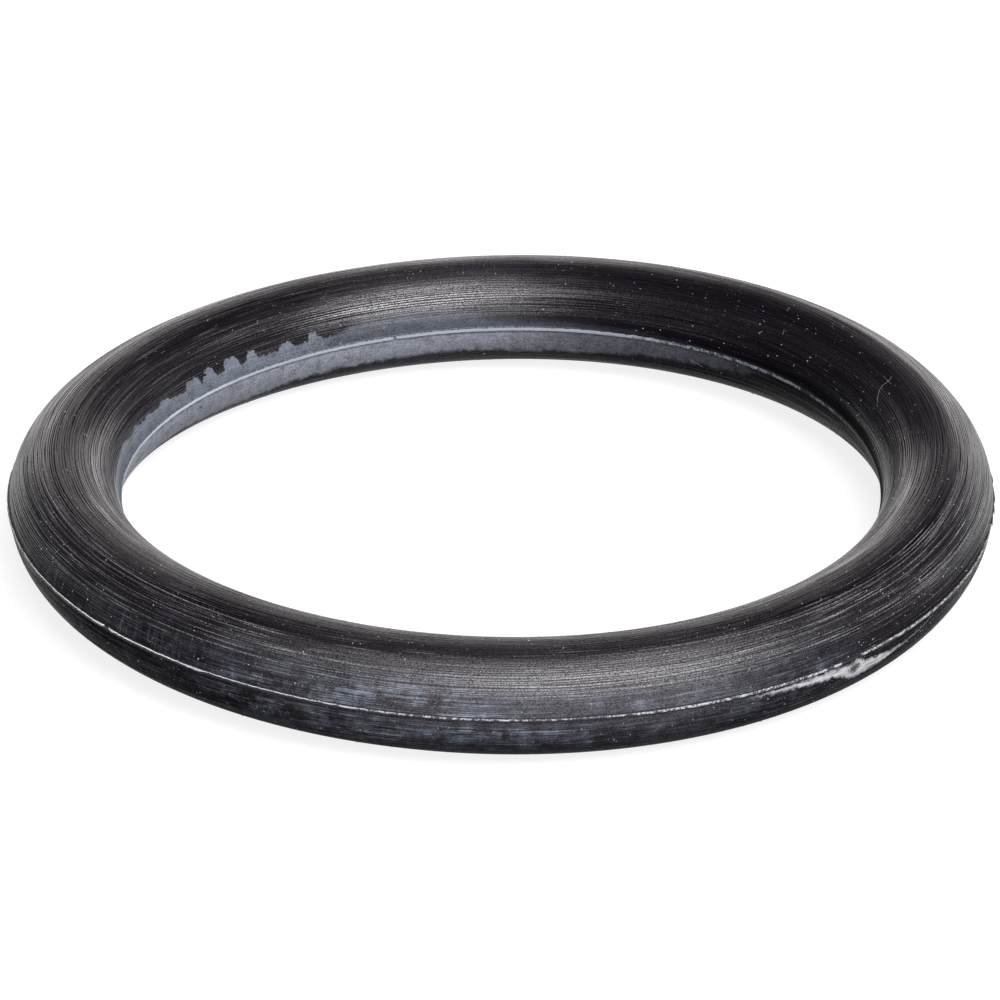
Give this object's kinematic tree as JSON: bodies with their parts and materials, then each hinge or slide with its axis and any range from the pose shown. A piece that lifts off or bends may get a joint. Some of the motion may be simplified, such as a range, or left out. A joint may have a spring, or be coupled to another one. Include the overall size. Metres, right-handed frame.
{
  "type": "rubber o-ring",
  "caption": "Black rubber sealing ring of round section, moulded in one piece, with a thin band of trimmed flash round its inner and outer edges.",
  "frame": {"origin": "centre of the ring on its parting plane, midway through its thickness", "axes": "+Z along the ring's axis; +X towards the torn flash at the right of the picture; -Y towards the camera"},
  "size_m": [0.0312, 0.0312, 0.0034],
  "materials": {
    "rubber": "satin black moulded nitrile rubber with fine turned lines, a blue-grey bloom and white dust"
  },
  "bodies": {
    "root": {"o_ring": "rubber"}
  },
  "joints": []
}
